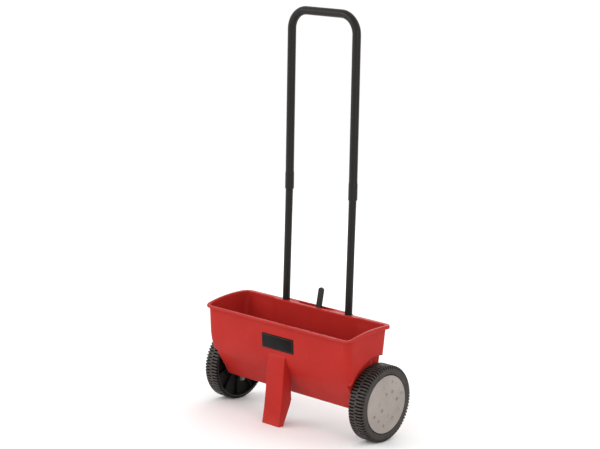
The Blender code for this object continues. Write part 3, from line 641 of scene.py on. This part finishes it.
def hopper():
    """The hopper's shell: its outside less its cavity, outlets and holes for the axle, lever and tubes."""
    body = new_object("hopper_moulding", hopper_outside())
    cavity = new_object("cavity", hopper_cavity())
    for side, _ in SIDES:
        cut(body, turned("arch", arch_profile(side, 0.0), 160))
        cut(cavity, turned("arch_lining", arch_profile(side, WALL), 160))
    cut(body, cavity.data.copy())
    bpy.data.objects.remove(cavity, do_unlink=True)
    holes = []
    for x in OUTLETS:
        low = (x - OUTLET_HALF, OUTLET_Y - OUTLET_HALF, BOTTOM_Z - 0.01)
        high = (x + OUTLET_HALF, OUTLET_Y + OUTLET_HALF, BOTTOM_Z + 0.01)
        holes.append((low, high))
    cut(body, box_mesh("outlet_cuts", holes))
    cut(body, rod("axle_cut", BUSH_RADIUS + GAP, -0.24, 0.24, "X"))
    cut_slot(body)
    cut_tubes(body)
    body.data.shade_smooth()
    body.data.set_sharp_from_angle(angle=math.radians(32))
    dress(body, "hopper_frame", RED, "hopper_shell")


def rear_shelf():
    """The shelf behind the rim, through which the tubes and the lever pass, and the skirt at its back."""
    front, radius = 0.0405, 0.006
    outline = rounded([
        (-SHELF_HALF_X, front, 0), (SHELF_HALF_X, front, 0),
        (SHELF_HALF_X, SHELF_BACK_Y, radius), (-SHELF_HALF_X, SHELF_BACK_Y, radius),
    ], 6)
    shelf = new_object("rear_shelf", extrude("rear_shelf", outline, RIM_Z - 0.0048, RIM_Z + 0.0003, "Z"))
    cut_slot(shelf)
    cut_tubes(shelf)
    low = (-SKIRT_HALF_X, SHELF_BACK_Y - 0.0025, RIM_Z - 0.0165)
    high = (SKIRT_HALF_X, SHELF_BACK_Y - 0.0001, RIM_Z - 0.0030)
    skirt = new_object("shelf_skirt", box_mesh("shelf_skirt", [(low, high)]))
    for piece in (shelf, skirt):
        round_edges(piece, 0.0008, 2)
        dress(piece, "hopper_frame", RED)


def slot_lip():
    """The raised bead along the slot's front edge, which catches the light."""
    path = [Vector((x, y - 0.0012, RIM_Z + 0.0004)) for x, y in slot_front()]
    path = [path[0] + Vector((-0.030, 0.004, -0.0006))] + path + [path[-1] + Vector((0.030, 0.004, -0.0006))]
    half_width, half_height = 0.0013, 0.0010
    rings = []
    for i, point in enumerate(path):
        along = (path[min(i + 1, len(path) - 1)] - path[max(i - 1, 0)]).normalized()
        across = Vector((0, 0, 1)).cross(along)
        ring = []
        for angle in even_angles(10):
            rise = Vector((0, 0, half_height * math.sin(angle)))
            ring.append(point + across * half_width * math.cos(angle) + rise)
        rings.append(ring)
    dress(new_object("slot_bead", skinned("slot_bead", rings)), "hopper_frame", RED)


def ground_z(y):
    """The floor's height in the hopper's own frame, which leans."""
    return (-WHEEL_RADIUS - y * math.sin(LEAN)) / math.cos(LEAN)


def foot():
    """The front leg: a channel open at the back, sunk into the hopper's front wall, with a flat toe."""
    front, _ = wall_chains(SIDE_CORNERS)
    toe_front, toe_back, sole = -0.1399, -0.1222, 0.008
    face = [
        (-0.1064, 0.1045), (-0.1080, 0.1000), (-0.1106, 0.0870), (-0.1135, 0.0720),
        (-0.116, 0.058), (-0.1216, 0.010), (-0.1293, -0.0337),
    ]
    back = [(-0.0925, -0.030), (-0.0875, -0.018), (-0.0875, 0.040)]
    sunk = [(y_at(front, z) + 0.0014, z) for z in (0.050, 0.060, 0.070, 0.080, 0.090, 0.098, 0.1045)]
    outline = face + [(toe_front, ground_z(toe_front)), (toe_back, ground_z(toe_back))] + back + sunk
    leg = new_object("foot_leg", extrude("foot_leg", outline, -FOOT_HALF_X, FOOT_HALF_X, "X"))
    pocket = [(y + FOOT_WALL, z) for y, z in face[4:]]
    pocket += [
        (toe_front + 0.0060, ground_z(toe_front) + sole), (-0.080, ground_z(toe_back) + sole), (-0.080, 0.036),
    ]
    cut(leg, extrude("pocket", pocket, FOOT_WALL - FOOT_HALF_X, FOOT_HALF_X - FOOT_WALL, "X"))
    round_edges(leg, 0.0016, 3, 30)
    # Bounds are taken from an object's own axes, so the leg's mesh is turned upright instead of its object
    leg.data.transform(BODY_FRAME)
    leg.matrix_world = Matrix.Identity(4)
    dress(leg, "hopper_frame", RED)


def tube_mounts():
    """A collar round each lower tube at the rim and the socket that it stands in, low on the rear wall."""
    half_x, front, back, radius = 0.0145, -0.020, 0.0140, 0.006
    block = rounded([
        (-half_x, front, 0), (half_x, front, 0), (half_x, back, radius), (-half_x, back, radius),
    ], 5)
    for side, word in SIDES:
        place = tube_frame(side)
        collar = new_object(f"tube_collar_{word}", rod("collar", 0.0122, -0.347, -0.3220, "Z"), place)
        cut(collar, rod("bore", LOWER_RADIUS + GAP, -0.36, -0.30, "Z"), place)
        round_edges(collar, 0.0010, 3)
        dress(collar, "hopper_frame", RED)
        socket = new_object(f"tube_socket_{word}", extrude("socket", block, -0.483, -0.428, "Z"), place)
        cut(socket, rod("bore", LOWER_RADIUS + GAP, -0.480, -0.40, "Z"), place)
        round_edges(socket, 0.0012, 3)
        dress(socket, "hopper_frame", RED)


def badge():
    """The blank plate on the front wall and the thin raised border on it."""
    low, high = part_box("front_badge")
    x0, x1, z0, z1, inset = low.x, high.x, 0.1175, 0.1565, 0.003
    outline = rounded([(x0, z0, 0.0025), (x1, z0, 0.0025), (x1, z1, 0.0025), (x0, z1, 0.0025)], 5)
    plate = new_object("badge_plate", extrude("badge_plate", outline, FRONT_Y - 0.0012, FRONT_Y - 0.0001, "Y"))
    round_edges(plate, 0.0004, 2)
    dress(plate, "hopper_frame", BADGE, "front_badge")
    inner = rounded([
        (x0 + inset, z0 + inset, 0.0015), (x1 - inset, z0 + inset, 0.0015),
        (x1 - inset, z1 - inset, 0.0015), (x0 + inset, z1 - inset, 0.0015),
    ], 5)
    middle_x, middle_z = (x0 + x1) / 2, (z0 + z1) / 2
    rings = []
    for step, proud in ((0.0, 0.0010), (0.0, 0.0015), (0.0005, 0.0016), (0.0009, 0.0015), (0.0009, 0.0010)):
        rings.append([
            (x - math.copysign(step, x - middle_x), FRONT_Y - proud, z - math.copysign(step, z - middle_z))
            for x, z in inner
        ])
    border = new_object("badge_border", skinned("badge_border", rings, along=True))
    dress(border, "hopper_frame", BLACK)


# ---------------------------------------------------------------- handle

def ring_at(centre, along, radius):
    """A ring of points round a tube that runs in a plane of constant Y."""
    across = Vector((0, 1, 0)).cross(along)
    angles = even_angles(40)
    return [centre + across * radius * math.cos(a) + Vector((0, radius * math.sin(a), 0)) for a in angles]


def lower_tubes():
    foot_z, top_z, bore = -0.475, 0.020, 0.0089
    stations = [(foot_z, bore), (foot_z, LOWER_RADIUS - 0.0003), (foot_z + 0.0003, LOWER_RADIUS)]
    stations += [(foot_z + 0.005 + 0.05 * i, LOWER_RADIUS) for i in range(10)]
    stations += [(top_z, LOWER_RADIUS), (top_z, bore)]
    rings = [ring_at(Vector((0, 0, z)), Vector((0, 0, 1)), r) for z, r in stations]
    for side, word in SIDES:
        mesh = skinned("lower_tube", rings, along=True)
        tube = new_object(f"lower_tube_paint_{word}", mesh, tube_frame(side), 50)
        dress(tube, "hopper_frame", PAINT, f"lower_tube_{word}")


def handle_bow():
    """The upper tube: two legs, each flared over its lower tube, and a bar that joins them in two bends."""
    bend, height, plain, flare_end = 0.050, 0.449, UPPER_RADIUS, 0.0268
    leg = [
        (-0.0218, 0.0106), (-0.0216, 0.0112), (-0.0208, 0.0116), (-0.0195, 0.0119), (-0.0180, 0.0118),
        (0.0185, 0.0118), (0.0205, 0.0117), (0.0228, 0.0114), (0.0250, 0.0111), (flare_end, plain),
    ]
    leg += [(flare_end + (height - bend - flare_end) * i / 8, plain) for i in range(1, 9)]
    stations = [(Vector((-TUBE_X, 0, z)), Vector((0, 0, 1)), r) for z, r in leg]
    steps = 20
    for side in (-1, 1):
        order = range(1, steps + 1) if side < 0 else range(0, steps)
        for i in order:
            turn = math.pi / 2 * i / steps
            angle = turn if side < 0 else math.pi / 2 - turn
            x = side * (TUBE_X - bend + bend * math.cos(angle))
            z = height - bend + bend * math.sin(angle)
            along = Vector((math.sin(angle), 0, -side * math.cos(angle)))
            stations.append((Vector((x, 0, z)), along, plain))
    stations += [(Vector((TUBE_X, 0, z)), Vector((0, 0, -1)), r) for z, r in reversed(leg)]
    place = BODY_FRAME @ Matrix.Translation((0, *SPLICE)) @ Matrix.Rotation(-UPPER_LEAN, 4, "X")
    mesh = skinned("handle_bow", [ring_at(*station) for station in stations])
    bow = new_object("handle_bow_paint", mesh, place, 50)
    dress(bow, "hopper_frame", PAINT, "handle_bow")


# ---------------------------------------------------------------- wheels

TREAD_FLOOR = 0.0917
# (share of a lug's pitch, groove there): the outer row's grooves are staggered with the inner row's
TREAD_COLUMNS = [
    (0.21, "inner"), (0.235, None), (0.265, None), (0.29, "outer"),
    (0.71, "outer"), (0.735, None), (0.765, None), (0.79, "inner"),
]


def tread_profile():
    """From the sidewall round to the inner rim: (distance in from the outer face, radius, rows that cut it)."""
    w, r = WHEEL_WIDTH, WHEEL_RADIUS
    outer, long_only, inner = ("long", "short"), ("long",), ("inner",)
    return [
        (0.0006, 0.0780, ()), (0.0002, 0.0790, ()), (0.0000, 0.0805, ()), (0.0001, 0.0868, ()),
        (-0.0004, 0.0876, ()), (-0.0004, 0.0900, ()), (0.0002, 0.0908, ()), (0.0003, 0.0945, outer),
        (0.0009, 0.0962, outer), (0.0018, 0.0978, outer), (0.0030, 0.0990, outer), (0.0046, 0.0998, outer),
        (0.0062, r, outer), (0.0130, r, outer), (0.0184, r, outer), (0.0192, r, long_only),
        (0.0226, r, long_only), (0.0234, r, ()), (0.0250, r, ()), (0.0258, r, inner),
        (0.0330, r, inner), (w - 0.0050, r, inner), (w - 0.0036, 0.0996, inner), (w - 0.0018, 0.0984, inner),
        (w - 0.0006, 0.0966, inner), (w, 0.0945, ()), (w, 0.0912, ()), (w - 0.0006, 0.0905, ()),
    ]


def tread(side):
    """The tyre: long and short grooves by turns, open at the outer shoulder, and a staggered inner row."""
    columns = [(lug, share, groove) for lug in range(LUGS) for share, groove in TREAD_COLUMNS]
    rings = []
    for depth, radius, rows in tread_profile():
        ring = []
        for lug, share, groove in columns:
            row = ("long" if lug % 2 else "short") if groove == "outer" else groove
            floor = TREAD_FLOOR if row in rows else radius
            ring += circle(side * (WHEEL_OUTER - depth), min(radius, floor), [math.tau * (lug + share) / LUGS])
        rings.append(ring)
    hub_end, bore = WHEEL_WIDTH - 0.0003, 0.0043
    hollow = [
        (0.0300, 0.0903), (0.0080, 0.0897), (0.0060, 0.0885), (0.0052, 0.0865), (0.0055, 0.0835),
        (0.0070, 0.0815), (0.0120, 0.0806), (0.0165, 0.0800), (0.0170, 0.0790), (0.0170, 0.0175),
        (0.0174, 0.0168), (0.0440, 0.0152), (hub_end, 0.0146), (hub_end, bore), (0.0130, bore),
        (0.0130, 0.0740), (0.0120, 0.0757), (0.0040, 0.0768), (0.0016, 0.0772),
    ]
    angles = [math.tau * (lug + share) / LUGS for lug, share, _ in columns]
    rings += [circle(side * (WHEEL_OUTER - depth), radius, angles) for depth, radius in hollow]
    return skinned("tread", rings, along=True)


def wheel_core(side):
    """A dished lining over the wheel's inner side, which is the web that shows from behind, coloured near black as
    painted shade.
    """
    lining = [
        (0.0290, 0.0900), (0.0280, 0.0890), (0.0272, 0.0600), (0.0262, 0.0240),
        (0.0268, 0.0178), (0.0275, 0.0172), (0.0285, 0.0178),
        (0.0278, 0.0245), (0.0288, 0.0600), (0.0298, 0.0888), (0.0308, 0.0902),
    ]
    return turned("wheel_core", [(side * (WHEEL_OUTER - d), r) for d, r in lining], 160, True)


def wheel_ribs(side):
    """Low radial ribs and a ring rib on the wheel's inner side."""
    spokes = 10
    profile = [
        (0.0270, 0.0160), (0.0370, 0.0158), (0.0330, 0.0400),
        (0.0345, 0.0700), (0.0385, 0.0890), (0.0270, 0.0885),
    ]
    bm = bmesh.new()
    for i in range(spokes):
        turn = Matrix.Rotation(math.tau * i / spokes, 4, "X")
        rings = []
        for y in (-0.0013, -0.0009, 0.0009, 0.0013):
            shrink = 0.0004 if abs(y) > 0.001 else 0.0
            rings.append([turn @ Vector((side * (WHEEL_OUTER - d + shrink), y, r)) for d, r in profile])
        skin(bm, rings)
    ring = [
        (0.0270, 0.0480), (0.0318, 0.0482), (0.0322, 0.0487),
        (0.0322, 0.0495), (0.0318, 0.0500), (0.0270, 0.0502),
    ]
    skin(bm, turned_rings([(side * (WHEEL_OUTER - d), r) for d, r in ring], 96), along=True)
    return to_mesh(bm, "wheel_ribs")


DIMPLE_SPREAD, DIMPLE_DEPTH = 2.0, 0.0060
# (y, z, size, share of the depth), the first three in millimetres
CAP_DIMPLES = [
    (16, 57, 1.9, 0.7), (-5, 27, 2.2, 0.7), (19, 31, 3.0, 0.9), (58, 23, 2.6, 0.6), (40, 9, 2.6, 0.9),
    (-18, -14, 2.4, 1.0), (-46, -26, 2.1, 0.8), (-27, -40, 2.2, 0.7), (6, -31, 4.2, 0.5), (27, -39, 2.8, 0.7),
    (-6, -54, 2.1, 0.8), (-31, 4, 4.0, 0.45), (47, -18, 4.2, 0.45), (-19, 46, 3.2, 0.35), (31, 50, 3.4, 0.35),
]


def cap_height(y, z):
    """How far the cap's dome stands past the wheel's outer face, with its step near the rim and its dimples."""
    radius = math.hypot(y, z)
    height = 0.0026 - 0.0022 * (radius / 0.0738) ** 2
    step = min(max((0.0708 - radius) / 0.0012, 0.0), 1.0)
    height -= 0.0005 * step * step * (3 - 2 * step)
    for middle_y, middle_z, size, share in CAP_DIMPLES:
        gap = math.hypot(y * 1000 - middle_y, z * 1000 - middle_z) / (DIMPLE_SPREAD * size)
        if gap < 1.6:
            raised_edge = 0.18 * math.exp(-9 * (gap - 1.15) ** 2)
            height -= DIMPLE_DEPTH * share * (math.exp(-2.2 * gap * gap) - raised_edge)
    return height


def cap(side):
    """The domed wheel cap with its raised rim, as rings that close on its centre."""
    angles, pitch = even_angles(420), 0.0007
    profile = [
        (0.0058, 0.0735), (0.0042, 0.0746), (0.0014, 0.0753),
        (0.0004, 0.0753), (-0.0003, 0.0749), (-0.0006, 0.0741),
    ]
    rings = [circle(side * (WHEEL_OUTER - depth), radius, angles) for depth, radius in profile]
    radius = 0.0729
    while radius > 0.0012:
        flat = circle(side * WHEEL_OUTER, radius, angles)
        rings.append([(x + side * cap_height(y, z), y, z) for x, y, z in flat])
        radius -= pitch
    return skinned("cap", rings)


def wheels():
    place = Matrix.Translation(AXLE)
    for side, word in SIDES:
        body = "free_wheel" if side < 0 else "drive_axle"
        tyre = new_object(f"tyre_{word}", tread(side), place, 28)
        dress(tyre, body, TYRE, f"wheel_{word}")
        # The web and ribs take the near-black painted shade.
        dress(new_object(f"wheel_core_{word}", wheel_core(side), place, 40), body, SHADED_CORE)
        dress(new_object(f"wheel_ribs_{word}", wheel_ribs(side), place, 40), body, SHADED_CORE)
        disc = new_object(f"cap_disc_{word}", cap(side), place, 60)
        dress(disc, body, GREY, f"wheel_cap_{word}")


# ---------------------------------------------------------------- lever

def lever():
    """The flat lever, in its own frame: origin on the pivot, Y along the pivot and Z up the lever."""
    place = BODY_FRAME @ Matrix.Translation(LEVER_PIVOT) @ Matrix.Rotation(-LEVER_PLANE_LEAN, 4, "X")
    place = place @ Matrix.Rotation(LEVER_REST, 4, "Y")
    slim, half, top, hook = 0.0040, 0.0080, 0.203, 0.0685
    outline = rounded([
        (-slim, -hook, 0.002), (slim, -hook, 0.002), (slim, -0.030, 0.004), (half, -0.016, 0.008),
        (half, top, 0.0078), (-half, top, 0.0078), (-half, -0.016, 0.008), (-slim, -0.030, 0.004),
    ], 8)
    arm = new_object("lever_arm", extrude("lever_arm", outline, -0.0030, 0.0030, "Y"), place)
    cut(arm, rod("pivot", 0.0034, -0.01, 0.01, "Y"), place)
    round_edges(arm, 0.0013, 3)
    dress(arm, "lever", BLACK, "dose_lever")


# ---------------------------------------------------------------- stage

def stage():
    """A plain pale floor under an evenly bright sky."""
    bm = bmesh.new()
    bmesh.ops.create_grid(bm, x_segments=2, y_segments=2, size=60.0)
    floor = bpy.data.objects.new("floor", to_mesh(bm, "floor"))
    bpy.context.scene.collection.objects.link(floor)
    n = Nodes("floor_paper")
    n.colour(n.mix(n.noise(3.0, 3.0), (0.94, 0.94, 0.94), (0.96, 0.96, 0.96)))
    n.set(Roughness=0.9, Specular_IOR_Level=0.1)
    floor.data.materials.append(n.material)
    world = bpy.data.worlds.new("studio")
    bpy.context.scene.world = world
    world.use_nodes = True
    world.node_tree.nodes["Background"].inputs["Color"].default_value = (1.0, 0.99, 0.98, 1.0)
    world.node_tree.nodes["Background"].inputs["Strength"].default_value = 1.08


def area_light(name, place, size, power):
    """A rectangular lamp that shines at the hopper."""
    target = Vector((0, 0, 0.3))
    data = bpy.data.lights.new(name, "AREA")
    data.shape = "RECTANGLE"
    data.size, data.size_y = size
    data.energy = power
    lamp = bpy.data.objects.new(name, data)
    bpy.context.scene.collection.objects.link(lamp)
    lamp.location = place
    lamp.rotation_euler = (Vector(place) - target).to_track_quat("Z", "Y").to_euler()


def lights():
    area_light("key", (-1.7, -2.9, 1.7), (2.2, 2.0), 34)
    area_light("fill", (3.0, -1.2, 1.2), (0.9, 1.2), 13)
    area_light("back", (-1.6, 3.0, 2.0), (2.4, 1.0), 30)


def camera():
    """Fixed to the hopper's own frame, so that the lean on the floor doesn't move the hopper in view."""
    data = bpy.data.cameras.new("camera")
    data.lens, data.sensor_width = 98.41, 36.0
    data.clip_end = 200
    view = bpy.data.objects.new("camera", data)
    bpy.context.scene.collection.objects.link(view)
    right = Vector((0.74667, 0.66463, -0.02720))
    up = Vector((-0.15526, 0.21390, 0.96444))
    back = Vector((0.64682, -0.71590, 0.26289))
    place = Vector((2.72259, -3.01644, 1.53509))
    view.matrix_world = BODY_FRAME @ Matrix((
        (right.x, up.x, back.x, place.x), (right.y, up.y, back.y, place.y),
        (right.z, up.z, back.z, place.z), (0, 0, 0, 1),
    ))
    bpy.context.scene.camera = view


# CAD nodes that stay in view, by their material
CAD_LOOKS = {
    STEEL: [
        "axle_rod", "agitator_pin", "drive_pin", "push_nut_left", "push_nut_right", "shutter_plate",
        "lever_screw", "lever_washer", "tube_nut_left", "tube_nut_right", "tube_screw_left", "tube_screw_right",
        "snap_button_left", "snap_button_right", *(f"rail_screw_{i}" for i in range(1, 7)),
    ],
    BLACK: [
        "agitator", "axle_bush_left", "axle_bush_right",
        "shutter_rail_front", "shutter_rail_rear_left", "shutter_rail_rear_right",
    ],
    DARK_GREY: ["shutter_stop"],
}


def dress_cad_nodes():
    for material, names in CAD_LOOKS.items():
        for name in names:
            node = frame["nodes"][name]
            node.data.materials.clear()
            node.data.materials.append(material)


camera()
stage()
lights()
hopper()
rear_shelf()
slot_lip()
foot()
tube_mounts()
badge()
lower_tubes()
handle_bow()
wheels()
lever()
dress_cad_nodes()
bpy.context.scene.view_settings.view_transform = "Standard"
